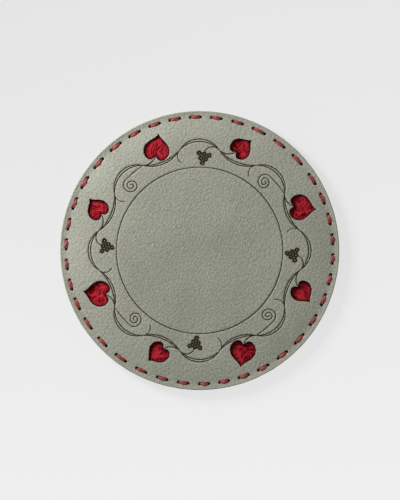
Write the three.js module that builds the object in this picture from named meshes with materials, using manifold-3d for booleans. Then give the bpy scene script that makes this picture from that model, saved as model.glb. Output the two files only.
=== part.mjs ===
// Round drink coaster of two leather layers, sewn together round the rim with one thread in a running stitch.
// The upper layer has leaf-shaped windows, and a red leather inlay lies in each window on the lower layer.
// Millimetres, +Z up. The origin is the centre of the underside, which is the face that rests on a table.
import * as THREE from "three";
import { mergeVertices } from "three/addons/utils/BufferGeometryUtils.js";
import Module from "manifold-3d";

// Leather layers
const COASTER_DIAMETER = 100;
const FACE_THICKNESS = 1.8;
const BACKING_THICKNESS = 2.2;
const RIM_ROUND = 0.5; // rounding of the outer edge, above and below
const RIM_SEGMENTS = 64;
const STITCH_PULL = 0.75; // how far the tight stitches pull the face down at their row
const CROWN_WIDTH = 10; // from the row inwards to where the face is level

// Thread, and how it lies in the leather
const THREAD_DIAMETER = 0.7; // round, where it is squeezed through a hole
const THREAD_FLAT_WIDTH = 1.5; // flattened and plump, in the middle of a stitch
const THREAD_FLAT_HEIGHT = 0.7;
const THREAD_GAP = 0.1; // between the thread and the leather under it
const HOLE_CLEARANCE = 0.12; // between the thread and the wall of its hole
const SEAT_SIDE_GAP = 0.15; // between a stitch or its holes and the side of their dent or groove
const STITCH_SINK = 0.3; // depth of the dent that a tight stitch pulls into the face
const BACK_RECESS = 0.05; // how far the thread lies inside the underside
const END_GAP = 0.4; // between the two sealed ends of the thread

// Row of stitches
const STITCH_COUNT = 38;
const STITCH_INSET = 2.2; // from the rim to the row
const STITCH_SHARE = 0.53; // share of the pitch from hole to hole on the face
const STITCH_START = THREE.MathUtils.degToRad(6);
const QUARTER_CROWDING = 0.091; // share by which the hand-spaced pitch narrows at four places
const QUARTER_TURN = THREE.MathUtils.degToRad(4.4); // the first of these places
const HALF_CROWDING = 0.015; // share by which it narrows at two places besides
const HALF_TURN = THREE.MathUtils.degToRad(-20.6);
const WHOLE_CROWDING = 0.01; // share by which it narrows at one place besides
const WHOLE_TURN = THREE.MathUtils.degToRad(-97);

// Leaf-shaped windows and their inlays, large and small in turn
const LEAF_PAIRS = 4;
const LARGE_LEAF_LENGTH = 9.6;
const LARGE_LEAF_WIDTH = 9.2;
const SMALL_LEAF_LENGTH = 8.2;
const SMALL_LEAF_WIDTH = 7.8;
const LEAF_INSET = 10; // from the rim to a leaf's centre
const LEAF_LEAN = THREE.MathUtils.degToRad(-30); // from straight outwards
const LEAF_START = THREE.MathUtils.degToRad(22.5);
const INLAY_THICKNESS = 0.75;
const INLAY_ROUND = 0.15; // softened edge of the cut inlay
const INLAY_CLEARANCE = 0.2; // between an inlay and the wall of its window

// Sizes that follow from those above
const RIM_RADIUS = COASTER_DIAMETER / 2;
const FACE_TOP = BACKING_THICKNESS + FACE_THICKNESS;
const ROW_TOP = FACE_TOP - STITCH_PULL;
const CROWN_RADIUS = (CROWN_WIDTH ** 2 + STITCH_PULL ** 2) / (2 * STITCH_PULL);
const STITCH_RADIUS = RIM_RADIUS - STITCH_INSET;
const HOLE_RADIUS = THREAD_DIAMETER / 2 + HOLE_CLEARANCE;
const SEAT_RADIUS = Math.max(THREAD_FLAT_WIDTH / 2, HOLE_RADIUS) + SEAT_SIDE_GAP;
const THREAD_NECK_WIDTH = (THREAD_DIAMETER + THREAD_FLAT_WIDTH) / 2; // beside a hole and along the back
const GROOVE_DEPTH = BACK_RECESS + THREAD_FLAT_HEIGHT + THREAD_GAP;
const CUT_MARGIN = 1; // how far a cutter reaches past the surface that it opens

// Finishes
const FACE_FINISH = { color: 0x9a9c8f, roughness: 0.7 };
const BACKING_FINISH = { color: 0x8f9184, roughness: 0.85 };
const INLAY_FINISH = { color: 0xa31f30, roughness: 0.6 };
const THREAD_FINISH = { color: 0xa8443f, roughness: 0.6 };

const wasm = await Module();
wasm.setup();

// A closed geometry as a solid that can be cut.
function solidOf(geometry) {
  const bare = geometry.clone();
  bare.deleteAttribute("normal");
  bare.deleteAttribute("uv");
  const merged = mergeVertices(bare, 1e-4);
  return new wasm.Manifold(
    new wasm.Mesh({
      numProp: 3,
      vertProperties: merged.attributes.position.array,
      triVerts: new Uint32Array(merged.index.array),
    }),
  );
}

// A cut solid as a geometry with flat-shaded faces.
function geometryOf(solid) {
  const mesh = solid.getMesh();
  const geometry = new THREE.BufferGeometry();
  geometry.setAttribute("position", new THREE.BufferAttribute(mesh.vertProperties, 3));
  geometry.setIndex(new THREE.BufferAttribute(mesh.triVerts, 1));
  const flat = geometry.toNonIndexed();
  flat.computeVertexNormals();
  return flat;
}

function matte(finish) {
  return new THREE.MeshStandardMaterial({ ...finish, metalness: 0 });
}

// A profile of radius and height, turned about the Z axis.
function turned(profile) {
  const arcSteps = 1;
  return new THREE.LatheGeometry(profile.getPoints(arcSteps), RIM_SEGMENTS).rotateX(Math.PI / 2);
}

// Angle of a place in the row, counted in stitches. The even pitch narrows and widens four times round,
// and by less, twice round and once round.
function rowAngle(place) {
  const even = STITCH_START + (place / STITCH_COUNT) * 2 * Math.PI;
  const quarters = (QUARTER_CROWDING / 4) * Math.sin(4 * (even - QUARTER_TURN));
  const halves = (HALF_CROWDING / 2) * Math.sin(2 * (even - HALF_TURN));
  const whole = WHOLE_CROWDING * Math.sin(even - WHOLE_TURN);
  return even - quarters - halves - whole;
}

// The two holes of each stitch: where the thread comes up, and where it goes down again.
const stitches = Array.from({ length: STITCH_COUNT }, (_, k) => ({
  up: rowAngle(k - STITCH_SHARE / 2),
  down: rowAngle(k + STITCH_SHARE / 2),
}));

// Cutters for the holes through both layers, six-sided and clear of the thread on every side.
function holeCutters() {
  const sides = 6;
  const radius = HOLE_RADIUS / Math.cos(Math.PI / sides);
  const length = FACE_TOP + 2 * CUT_MARGIN;
  const prism = new THREE.CylinderGeometry(radius, radius, length, sides).rotateX(Math.PI / 2);
  return stitches
    .flatMap(({ up, down }) => [up, down])
    .map((angle) => {
      const place = new THREE.Matrix4().makeRotationZ(angle);
      place.multiply(new THREE.Matrix4().makeTranslation(STITCH_RADIUS, 0, FACE_TOP / 2));
      return solidOf(prism.clone().applyMatrix4(place));
    });
}

// Cutters for the dents under the stitches: a round-ended slot from hole to hole, open upwards.
function dentCutters() {
  const endSteps = 2;
  return stitches.map(({ up, down }) => {
    const half = (down - up) / 2;
    const reach = STITCH_RADIUS * Math.sin(half);
    const slot = new THREE.Shape();
    slot.absarc(reach, 0, SEAT_RADIUS, -Math.PI / 2, Math.PI / 2);
    slot.absarc(-reach, 0, SEAT_RADIUS, Math.PI / 2, (3 * Math.PI) / 2);
    const block = new THREE.ExtrudeGeometry(slot, {
      depth: STITCH_SINK + CUT_MARGIN,
      bevelEnabled: false,
      curveSegments: endSteps,
    });
    const place = new THREE.Matrix4().makeRotationZ((up + down) / 2);
    place.multiply(
      new THREE.Matrix4().makeTranslation(STITCH_RADIUS * Math.cos(half), 0, ROW_TOP - STITCH_SINK),
    );
    place.multiply(new THREE.Matrix4().makeRotationZ(Math.PI / 2));
    return solidOf(block.applyMatrix4(place));
  });
}

// Heart-shaped leaf, its tip along +Y and its notch at the stalk. The curves are shares of length and width.
function leafShape(length, width) {
  const at = (x, y) => [x * width, y * length];
  const leaf = new THREE.Shape();
  leaf.moveTo(...at(0, 0.5));
  leaf.bezierCurveTo(...at(0.12, 0.27), ...at(0.5, 0.2), ...at(0.5, -0.14));
  leaf.bezierCurveTo(...at(0.5, -0.42), ...at(0.15, -0.66), ...at(0, -0.3));
  leaf.bezierCurveTo(...at(-0.15, -0.66), ...at(-0.5, -0.42), ...at(-0.5, -0.14));
  leaf.bezierCurveTo(...at(-0.5, 0.2), ...at(-0.12, 0.27), ...at(0, 0.5));
  return leaf;
}

const LEAF_CURVE_STEPS = 7;
const leaves = Array.from({ length: 2 * LEAF_PAIRS }, (_, k) => {
  const large = k % 2 === 0;
  return {
    name: `red_leaf_inlay_${k + 1}`,
    angle: LEAF_START + (k / (2 * LEAF_PAIRS)) * 2 * Math.PI,
    shape: large
      ? leafShape(LARGE_LEAF_LENGTH, LARGE_LEAF_WIDTH)
      : leafShape(SMALL_LEAF_LENGTH, SMALL_LEAF_WIDTH),
  };
});

// A leaf's place: on its ring, the tip turned outwards and then by its lean.
function leafPlace(angle, z) {
  const group = new THREE.Group();
  group.position.set(Math.cos(angle), Math.sin(angle), 0).multiplyScalar(RIM_RADIUS - LEAF_INSET);
  group.position.z = z;
  group.rotation.z = angle - Math.PI / 2 + LEAF_LEAN;
  return group;
}

function windowCutters() {
  return leaves.map(({ angle, shape }) => {
    const block = new THREE.ExtrudeGeometry(shape, {
      depth: FACE_THICKNESS + 2 * CUT_MARGIN,
      bevelEnabled: false,
      curveSegments: LEAF_CURVE_STEPS,
    });
    const place = leafPlace(angle, BACKING_THICKNESS - CUT_MARGIN);
    place.updateMatrix();
    return solidOf(block.applyMatrix4(place.matrix));
  });
}

// Lower layer: a turned disc with a stitching groove in the underside, pierced by the row of holes.
function backing() {
  const profile = new THREE.Path();
  profile.moveTo(0, 0);
  profile.lineTo(STITCH_RADIUS - SEAT_RADIUS, 0);
  profile.lineTo(STITCH_RADIUS - SEAT_RADIUS, GROOVE_DEPTH);
  profile.lineTo(STITCH_RADIUS + SEAT_RADIUS, GROOVE_DEPTH);
  profile.lineTo(STITCH_RADIUS + SEAT_RADIUS, 0);
  profile.absarc(RIM_RADIUS - RIM_ROUND, RIM_ROUND, RIM_ROUND, -Math.PI / 2, 0);
  profile.lineTo(RIM_RADIUS, BACKING_THICKNESS);
  profile.lineTo(0, BACKING_THICKNESS);
  const solid = solidOf(turned(profile)).subtract(wasm.Manifold.union(holeCutters()));
  const mesh = new THREE.Mesh(geometryOf(solid), matte(BACKING_FINISH));
  mesh.name = "backing_leather";
  return mesh;
}

// Upper layer: a turned disc with the leaf windows, the row of holes and the dents of the stitches.
// Its level middle falls in a flat crown to the row, and the rim outside the row is as low.
function face() {
  const levelRadius = STITCH_RADIUS - CROWN_WIDTH;
  const crownSweep = Math.asin(CROWN_WIDTH / CROWN_RADIUS);
  const profile = new THREE.Path();
  profile.moveTo(0, BACKING_THICKNESS);
  profile.lineTo(RIM_RADIUS, BACKING_THICKNESS);
  profile.absarc(RIM_RADIUS - RIM_ROUND, ROW_TOP - RIM_ROUND, RIM_ROUND, 0, Math.PI / 2);
  profile.absarc(levelRadius, FACE_TOP - CROWN_RADIUS, CROWN_RADIUS, Math.PI / 2 - crownSweep, Math.PI / 2);
  profile.lineTo(0, FACE_TOP);
  const cuts = [...holeCutters(), ...dentCutters(), ...windowCutters()];
  const solid = solidOf(turned(profile)).subtract(wasm.Manifold.union(cuts));
  const mesh = new THREE.Mesh(geometryOf(solid), matte(FACE_FINISH));
  mesh.name = "face_leather";
  return mesh;
}

// A red leaf, smaller than its window by the clearance, with its edges softened.
function inlay({ name, angle, shape }) {
  const geometry = new THREE.ExtrudeGeometry(shape, {
    depth: INLAY_THICKNESS - 2 * INLAY_ROUND,
    bevelThickness: INLAY_ROUND,
    bevelSize: INLAY_ROUND,
    bevelOffset: -INLAY_CLEARANCE - INLAY_ROUND,
    bevelSegments: 1,
    curveSegments: LEAF_CURVE_STEPS,
  });
  const mesh = new THREE.Mesh(geometry, matte(INLAY_FINISH));
  mesh.name = name;
  const place = leafPlace(angle, BACKING_THICKNESS + INLAY_ROUND);
  place.add(mesh);
  return place;
}

// The thread's section in half widths and half heights: six-sided, and flat above and below.
const THREAD_SECTION = [
  [1, 0],
  [0.5, 1],
  [-0.5, 1],
  [-1, 0],
  [-0.5, -1],
  [0.5, -1],
];

// One section of the thread, across its path. The slope is 0 along the row and a right angle straight up.
function threadRing({ angle, z, slope, width, height }) {
  const outward = new THREE.Vector3(Math.cos(angle), Math.sin(angle), 0);
  const along = new THREE.Vector3(-Math.sin(angle), Math.cos(angle), 0);
  const lift = along.multiplyScalar(-Math.sin(slope));
  lift.z = Math.cos(slope);
  const centre = outward.clone().multiplyScalar(STITCH_RADIUS);
  centre.z = z;
  return THREAD_SECTION.map(([across, up]) =>
    centre
      .clone()
      .addScaledVector(outward, (across * width) / 2)
      .addScaledVector(lift, (up * height) / 2),
  );
}

// The thread's path, section by section: up a hole, along the face, down the next, along the groove.
// One slanting length takes each corner round the mouth of its hole, so a corner has two mitred sections.
// A stitch swells from its necks at the holes to its middle. The thread starts and ends in one stretch
// of the groove.
function threadPath() {
  const frontZ = ROW_TOP - STITCH_SINK + THREAD_GAP + THREAD_FLAT_HEIGHT / 2;
  const backZ = BACK_RECESS + THREAD_FLAT_HEIGHT / 2;
  const halfBend = Math.PI / 8;
  const mitre = 1 / Math.cos(halfBend);
  const cut = HOLE_RADIUS * (1 - Math.tan(halfBend));
  const round = { width: THREAD_DIAMETER, height: THREAD_DIAMETER * mitre };
  const neck = { width: THREAD_NECK_WIDTH, height: THREAD_FLAT_HEIGHT * mitre };
  const middle = { width: THREAD_FLAT_WIDTH, height: THREAD_FLAT_HEIGHT };
  const sealed = { width: THREAD_NECK_WIDTH, height: THREAD_FLAT_HEIGHT };
  // From a hole to a run: side is +1 where the run goes on from the hole and -1 where it comes to it,
  // and rise is +1 on the face and -1 in the groove.
  const corner = (hole, runZ, side, rise) => [
    { angle: hole, z: runZ - rise * cut, slope: side * rise * 3 * halfBend, ...round },
    { angle: hole + (side * cut) / STITCH_RADIUS, z: runZ, slope: side * rise * halfBend, ...neck },
  ];
  const path = stitches.flatMap(({ up, down }) => [
    ...corner(up, backZ, -1, -1).reverse(),
    ...corner(up, frontZ, 1, 1),
    { angle: (up + down) / 2, z: frontZ, slope: 0, ...middle },
    ...corner(down, frontZ, -1, 1).reverse(),
    ...corner(down, backZ, 1, -1),
  ]);
  const meeting = rowAngle(-1 / 2);
  const endAngle = END_GAP / 2 / STITCH_RADIUS;
  const first = { angle: meeting + endAngle, z: backZ, slope: 0, ...sealed };
  const last = { angle: meeting + 2 * Math.PI - endAngle, z: backZ, slope: 0, ...sealed };
  return [first, ...path, last];
}

// The thread: its sections joined by a skin, with a flat cap on each sealed end.
function thread() {
  const rings = threadPath().map(threadRing);
  const sides = THREAD_SECTION.length;
  const index = [];
  for (let r = 0; r + 1 < rings.length; r++) {
    for (let i = 0; i < sides; i++) {
      const a = r * sides + i;
      const b = r * sides + ((i + 1) % sides);
      index.push(a, a + sides, b, b, a + sides, b + sides);
    }
  }
  const lastRing = (rings.length - 1) * sides;
  for (let i = 1; i + 1 < sides; i++) {
    index.push(0, i, i + 1);
    index.push(lastRing, lastRing + i + 1, lastRing + i);
  }
  const geometry = new THREE.BufferGeometry().setFromPoints(rings.flat());
  geometry.setIndex(index);
  geometry.computeVertexNormals();
  const mesh = new THREE.Mesh(geometry, matte(THREAD_FINISH));
  mesh.name = "edge_stitching";
  return mesh;
}

const coaster = new THREE.Group();
coaster.add(backing(), face(), ...leaves.map(inlay), thread());

export default coaster;
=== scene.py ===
import bpy
import numpy as np
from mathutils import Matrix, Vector
from mathutils.geometry import delaunay_2d_cdt


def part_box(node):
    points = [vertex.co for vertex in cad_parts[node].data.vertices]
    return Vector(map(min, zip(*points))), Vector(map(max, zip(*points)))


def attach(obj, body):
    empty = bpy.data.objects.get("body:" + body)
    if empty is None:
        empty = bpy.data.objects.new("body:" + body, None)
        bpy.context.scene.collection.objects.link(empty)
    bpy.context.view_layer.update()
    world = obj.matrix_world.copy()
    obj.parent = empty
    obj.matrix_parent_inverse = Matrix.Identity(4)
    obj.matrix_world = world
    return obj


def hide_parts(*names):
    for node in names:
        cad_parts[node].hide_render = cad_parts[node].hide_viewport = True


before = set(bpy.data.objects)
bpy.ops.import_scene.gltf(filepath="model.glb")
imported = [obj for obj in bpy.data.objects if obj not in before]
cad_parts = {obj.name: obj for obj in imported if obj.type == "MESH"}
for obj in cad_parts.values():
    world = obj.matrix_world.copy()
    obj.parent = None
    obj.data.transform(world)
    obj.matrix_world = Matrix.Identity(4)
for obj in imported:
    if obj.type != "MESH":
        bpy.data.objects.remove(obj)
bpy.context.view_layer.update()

# Backing leather
# The lower layer: a disc of firm sage leather about two millimetres thick, its grain side down. A
# groove is cut round the underside for the stitches, and the row of holes is punched through both
# layers once they are glued. Sizes of the coaster are in millimetres, and MM takes them to metres.
MM = 0.001
FULL_TURN = 2 * np.pi

backing_low, backing_high = (np.array(corner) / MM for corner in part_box("backing_leather"))
RIM_RADIUS = backing_high[0]
JOIN_HEIGHT = backing_high[2]  # of the glued joint between the layers
BACKING_THICKNESS = backing_high[2] - backing_low[2]

GROOVE_HALF_WIDTH = 0.9
GROOVE_DEPTH = 0.85
GROOVE_WALL = 0.1  # width of its steep sides
GROOVE_SHOULDER = 0.12  # from it to a row of points on the leather beside it
GROOVE_WEAR = 0.5  # share by which the grain's tone fades in it
UNDER_GRAIN_DEPTH = 0.05
UNDER_SOOT = 0.16  # reach of the burn round a hole

STITCHES = 38
STITCH_INSET = 2.2  # of the row from the rim
STITCH_SHARE = 0.494  # of the pitch that lies on the face
ROW_RADIUS = RIM_RADIUS - STITCH_INSET
ROW_PITCH = FULL_TURN * ROW_RADIUS / STITCHES
ROW_START = np.radians(6)  # even angle of the first stitch
QUARTER_CROWDING = 0.091  # share by which the pitch narrows at four places
QUARTER_TURN = np.radians(4.4)  # where one of them is
HALF_CROWDING = 0.015  # and at two
HALF_TURN = np.radians(-20.6)
WHOLE_CROWDING = 0.01  # and at one
WHOLE_TURN = np.radians(-97)
SETTLING_ROUNDS = 6
HAND_SLIP = 0.018  # of the pitch, by which a hole is off its mark
MOST_SLIP = 2 * HAND_SLIP
SLIP_SEED = 5
HOLE_RADIUS = 0.4
HOLE_POINTS = 14
HOLE_CLEAR = 0.1  # round a hole, where the filling keeps away

stitch_numbers = np.arange(-1, STITCHES + 1)
hole_marks = (stitch_numbers[:, None] + STITCH_SHARE / 2 * np.array([-1, 1])).ravel()
hole_slips = np.random.default_rng(SLIP_SEED).normal(0, HAND_SLIP, (STITCHES, 2))
hole_slips = hole_slips.clip(-MOST_SLIP, MOST_SLIP)
hole_places = hole_marks + hole_slips[stitch_numbers % STITCHES].ravel()


def turn(angle):
    """The unit vector at an angle. Plan points are complex numbers, x + iy, in millimetres."""
    return np.exp(1j * angle)


def circle(centre, radius, count):
    """A closed loop of evenly spaced points round a centre."""
    return centre + radius * turn(np.arange(count) / count * FULL_TURN)


def row_drift(even):
    """How far hand spacing sets a place back from its even angle: a sine four times round, and slighter
    ones twice and once round."""
    quarters = QUARTER_CROWDING / 4 * np.sin(4 * (even - QUARTER_TURN))
    halves = HALF_CROWDING / 2 * np.sin(2 * (even - HALF_TURN))
    return quarters + halves + WHOLE_CROWDING * np.sin(even - WHOLE_TURN)


def row_angle(place):
    """Angle of a place in the row, counted in stitches. Places run evenly from one hole to the next,
    and each hole has slipped a little from its mark."""
    even = ROW_START + np.interp(place, hole_marks, hole_places) / STITCHES * FULL_TURN
    return even - row_drift(even)


def row_place(angle):
    """Place in the row at an angle: row_angle undone, by putting its result back in until it settles."""
    even = angle
    for _ in range(SETTLING_ROUNDS):
        even = angle + row_drift(even)
    slipped = (even - ROW_START) / FULL_TURN * STITCHES % STITCHES
    return np.interp(slipped, hole_places, hole_marks)


def along_stitch(plan):
    """Distance along the row from the middle of the nearest front stitch."""
    place = row_place(np.angle(plan))
    return np.abs(place - np.round(place)) * ROW_PITCH


def hole_distance(plan):
    """Distance from the wall of the nearest stitch hole, less than 0 inside it."""
    off_centre = along_stitch(plan) - STITCH_SHARE / 2 * ROW_PITCH
    return np.hypot(off_centre, np.abs(plan) - ROW_RADIUS) - HOLE_RADIUS


def hole_loops(lips):
    """Closed loops round the stitch holes in turn, one for each lip outside a hole's wall."""
    places = [k + end * STITCH_SHARE / 2 for k in range(STITCHES) for end in (-1, 1)]
    centres = [ROW_RADIUS * turn(row_angle(place)) for place in places]
    return [circle(centre, HOLE_RADIUS + lip, HOLE_POINTS) for centre in centres for lip in lips]


SCATTER_FACTORS = (374761393, 668265263, 974634777, 1274126177)
SCATTER_FOLDS = (13, 16)
WHOLE_WORD = 0xFFFFFFFF
HALF_WORD = 0xFFFF


def scatter(column, row, salt):
    """A repeatable random share from 0 to 1 for each cell of a lattice: its numbers times large odd
    factors are added up, the bits are folded over one another twice, and the low half of them is
    taken."""
    by_column, by_row, by_salt, by_fold = SCATTER_FACTORS
    first_fold, last_fold = SCATTER_FOLDS
    mixed = (column * by_column + row * by_row + salt * by_salt) & WHOLE_WORD
    mixed = ((mixed ^ (mixed >> first_fold)) * by_fold) & WHOLE_WORD
    return ((mixed ^ (mixed >> last_fold)) & HALF_WORD) / HALF_WORD


WAVE_COUNT = 7
WAVE_STRETCH = (0.7, 1.4)  # least and greatest share of the length that is asked for
WAVE_SUM = 2.6


def waves(plan, length, salt):
    """Smooth unrest from about -1 to 1: plane waves of like length in random directions, added up and
    divided by about the root of their number."""
    rng = np.random.default_rng(salt)
    total = np.zeros(plan.shape)
    for _ in range(WAVE_COUNT):
        across = turn(rng.uniform(0, FULL_TURN)) * FULL_TURN / (length * rng.uniform(*WAVE_STRETCH))
        total = total + np.sin((plan * across).real + rng.uniform(0, FULL_TURN))
    return total / WAVE_SUM


SEED_MARGIN = 0.1  # share of a cell beside its walls that holds no seed point
SEED_RANGE = 1 - 2 * SEED_MARGIN


def pebbles(plan, size, salt):
    """Cell noise, 0 in the creases and 1 on the domes between: 1 less the square of the distance to the
    nearest seed point over that to the second. A seed point keeps off the walls of its cell, so that no
    two pinch a crease between them."""
    column = np.floor(plan.real / size).astype(np.int64)
    row = np.floor(plan.imag / size).astype(np.int64)
    nearest = np.full(plan.shape, np.inf)
    second = np.full(plan.shape, np.inf)
    for dx, dy in np.ndindex(3, 3):
        c, r = column + dx - 1, row + dy - 1
        seed_x = c + SEED_MARGIN + SEED_RANGE * scatter(c, r, salt)
        seed_y = r + SEED_MARGIN + SEED_RANGE * scatter(c, r, salt + 1)
        gap = np.abs(plan / size - (seed_x + 1j * seed_y))
        second = np.minimum(second, np.maximum(nearest, gap))
        nearest = np.minimum(nearest, gap)
    return 1 - (nearest / second) ** 2


GRAIN_PUSH = 0.45
GRAIN_PUSH_LENGTH = 6
GRAIN_TURN = 0.35
GRAIN_STRETCH = (1.15, 0.85)
COARSE_PEBBLE = 1.15
FINE_PEBBLE = 0.75
COARSE_SHARE = 0.65
FINE_SHARE = 1 - COARSE_SHARE


def leather_grain(plan, salt):
    """Pebbled grain from 0 to 1: coarse and fine cells, added by their shares, on a plan that long
    waves push about and that is turned and stretched."""
    push = waves(plan, GRAIN_PUSH_LENGTH, salt) + 1j * waves(plan, GRAIN_PUSH_LENGTH, salt + 1)
    pushed = (plan + GRAIN_PUSH * push) * turn(GRAIN_TURN)
    stretched = pushed.real * GRAIN_STRETCH[0] + 1j * pushed.imag * GRAIN_STRETCH[1]
    coarse = pebbles(stretched, COARSE_PEBBLE, salt + 2)
    fine = pebbles(stretched, FINE_PEBBLE, salt + 4)
    return COARSE_SHARE * coarse + FINE_SHARE * fine


LATTICE_RISE = np.sqrt(0.75)  # from row to row, in steps
LATTICE_SPARE = 1.2  # so that the rows, which are closer than a step, still fill the disc
LATTICE_NUDGE = 0.2  # of a step


def lattice(radius, spacing, salt):
    """Plan points that fill a disc: rows of a triangular lattice, each point nudged by up to a fifth of
    a step."""
    reach = int(radius / spacing * LATTICE_SPARE) + 2
    column, row = np.meshgrid(np.arange(-reach, reach), np.arange(-reach, reach))
    points = spacing * (column + row % 2 / 2 + 1j * row * LATTICE_RISE)
    nudge = np.random.default_rng(salt).uniform(-LATTICE_NUDGE, LATTICE_NUDGE, (2, *points.shape))
    points = points + spacing * (nudge[0] + 1j * nudge[1])
    return points[np.abs(points) < radius]


SQUARE_STRIDE = 100_000


def clear_of(points, taken, gap):
    """The points whose square of side gap, and the eight round it, hold none of the taken points."""

    def square(plan, dx, dy):
        """One number for a point's square or one beside it: its column times a stride, plus its row."""
        return (np.floor(plan.real / gap) + dx) * SQUARE_STRIDE + np.floor(plan.imag / gap) + dy

    used = np.unique(square(taken, 0, 0))
    near = [np.isin(square(points, dx - 1, dy - 1), used) for dx, dy in np.ndindex(3, 3)]
    return points[~np.any(near, axis=0)]


def thinned(points, gap):
    """The points with all but one of those in each square of side gap left out."""
    square = np.round(points.real / gap) * SQUARE_STRIDE + np.round(points.imag / gap)
    return points[np.unique(square, return_index=True)[1]]


def inside(loop, points):
    """Whether points lie inside a closed loop: a ray to +X from there crosses an odd number of edges."""
    start, end = loop, np.roll(loop, -1)
    level = points.imag[:, None]
    straddles = (start.imag > level) != (end.imag > level)
    climb = np.where(end.imag == start.imag, 1.0, end.imag - start.imag)
    crossing = start.real + (level - start.imag) * (end.real - start.real) / climb
    return np.sum(straddles & (points.real[:, None] < crossing), axis=1) % 2 == 1


WHOLE_HULL = 0  # asks for triangles over the whole hull of the points
WELD_GAP = 1e-7  # within which two points count as one
NO_POINTS = np.zeros(0, complex)


def triangulate(loops, inner):
    """Triangles over plan points: the first loop is the outer edge, and each other loop is an opening.
    A triangle between points of one loop alone is kept if it lies on the leather's side of that
    loop."""
    points = np.concatenate([*loops, inner])
    sizes = np.array([len(loop) for loop in loops])
    rings = [first + np.arange(size) for first, size in zip(np.cumsum(sizes) - sizes, sizes)]
    edges = np.concatenate([np.column_stack([ring, np.roll(ring, -1)]) for ring in rings])
    plan = np.column_stack([points.real, points.imag])
    made = delaunay_2d_cdt(plan.tolist(), edges.tolist(), [], WHOLE_HULL, WELD_GAP, False)
    triangles = np.array(made[2])
    loop_of_point = np.concatenate([np.repeat(np.arange(len(loops)), sizes), np.full(len(inner), -1)])
    owner = loop_of_point[triangles]
    shared = np.where((owner == owner[:, :1]).all(axis=1), owner[:, 0], -1)
    kept = np.ones(len(triangles), bool)
    for k, loop in enumerate(loops):
        held = np.flatnonzero(shared == k)
        kept[held] = inside(loop, points[triangles[held]].mean(axis=1)) == (k == 0)
    return triangles[kept]


def band(ring, next_ring):
    """Two triangles for each step between two closed rings of point numbers."""
    on, next_on = np.roll(ring, -1), np.roll(next_ring, -1)
    first = np.column_stack([ring, next_ring, next_on])
    return np.concatenate([first, np.column_stack([ring, next_on, on])])


SHARP_ANGLE = np.radians(60)


def new_piece(name, points, faces, marks, finish):
    """A mesh object at the origin from points in millimetres, with its marks as attributes, of its
    points or, where they have a row for each face, of its corners."""
    mesh = bpy.data.meshes.new(name)
    mesh.from_pydata((points * MM).tolist(), [], faces.tolist())
    for mark, values in marks.items():
        layer = mesh.attributes.new(mark, "FLOAT", "POINT" if values.ndim == 1 else "CORNER")
        layer.data.foreach_set("value", values.ravel().astype(np.float32))
    mesh.shade_smooth()
    mesh.set_sharp_from_angle(angle=SHARP_ANGLE)
    mesh.materials.append(finish)
    piece = bpy.data.objects.new(name, mesh)
    bpy.context.scene.collection.objects.link(piece)
    return piece


RIM_POINTS = 640
RIM_ROUND = 0.4
RIM_ROUND_STEPS = 7
RIM_WALL_SHARE = 0.6  # of the wall's height, where a ring of points goes round
SEAM_HEIGHT = 0.14  # where the chamfer leaves the wall
SEAM_FOOT = 0.03  # height at which it ends
SEAM_DEPTH = 0.07  # how far in it ends
JOINT_INSET = 0.3  # of the glued face from the rim
SHEET_MARGIN = 0.2  # of level leather between the sheet and the round
SHEET_EDGE = RIM_RADIUS - RIM_ROUND - SHEET_MARGIN


def rim_profile(thickness):
    """Radius and height of the rim from the sheet's edge to the glued joint: flat, a quarter round, a
    straight wall, and a chamfer where the two layers meet."""
    bend = np.radians(np.linspace(90, 0, RIM_ROUND_STEPS))
    straight = thickness - RIM_ROUND
    wall_radius = RIM_RADIUS + np.array([0, 0, -SEAM_DEPTH, -JOINT_INSET])
    wall_height = np.array([RIM_WALL_SHARE * straight, SEAM_HEIGHT, SEAM_FOOT, 0])
    radius = np.concatenate([RIM_RADIUS - RIM_ROUND + RIM_ROUND * np.cos(bend), wall_radius])
    height = np.concatenate([straight + RIM_ROUND * np.sin(bend), wall_height])
    return radius, height


RIM_WEAR = 0.0006  # of the radius
RIM_WEAR_LENGTH = 5
RIM_WEAR_SEED = 31
RIM_WEAR_SHIFT = 7  # of the waves, for each unit of height
RIM_GRAIN = 0.6
HANDLED = 0.2  # share of the cut edge's tone that the sheet takes at the rim


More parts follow.
